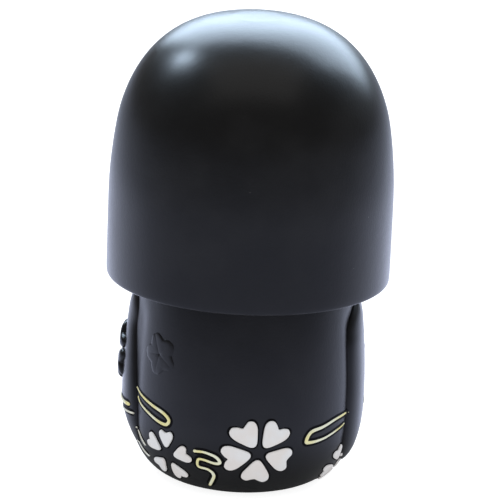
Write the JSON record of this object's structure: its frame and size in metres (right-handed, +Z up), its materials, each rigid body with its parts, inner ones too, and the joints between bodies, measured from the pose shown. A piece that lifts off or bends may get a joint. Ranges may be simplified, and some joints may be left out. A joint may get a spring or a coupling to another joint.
{
  "type": "vinyl art toy",
  "caption": "Small standing kokeshi-style vinyl doll with a smooth bobbed head that swivels on a rounded kimono body with raised flower relief.",
  "frame": {"origin": "centre of the flat foot ring, on the surface that the doll stands on", "axes": "+Z up through the neck to the crown, -Y the way the doll faces at rest, +X the doll's left"},
  "size_m": [0.0574, 0.0572, 0.095],
  "materials": {
    "hair_paint": "satin black vinyl paint",
    "kimono_paint": "semi-matt black vinyl paint",
    "skin_vinyl": "matt pale skin-coloured vinyl",
    "off_white_paint": "satin off-white paint",
    "pale_gold_paint": "satin pale gold line paint",
    "grey_plastic": "moulded dark grey plastic",
    "acetal": "natural white bearing plastic",
    "steel": "zinc-plated steel"
  },
  "bodies": {
    "body": {"kimono_body": "kimono_paint", "sleeve_left": "kimono_paint", "sleeve_right": "kimono_paint", "kimono_collar": "pale_gold_paint", "under_collar": "off_white_paint", "base_plug": "grey_plastic", "deck_bush": "acetal", "neck_washer": "acetal", "wave_washer": "steel"},
    "head": {"hair_cap": "hair_paint", "face": "skin_vinyl", "head_floor": "grey_plastic", "neck_post": "grey_plastic", "retaining_washer": "steel", "neck_screw": "steel"}
  },
  "joints": [
    {"name": "head_turn", "type": "hinge", "parent": "body", "child": "head", "pos_m": [0, 0, 0.044], "axis": [0, 0, 1], "continuous": true}
  ]
}
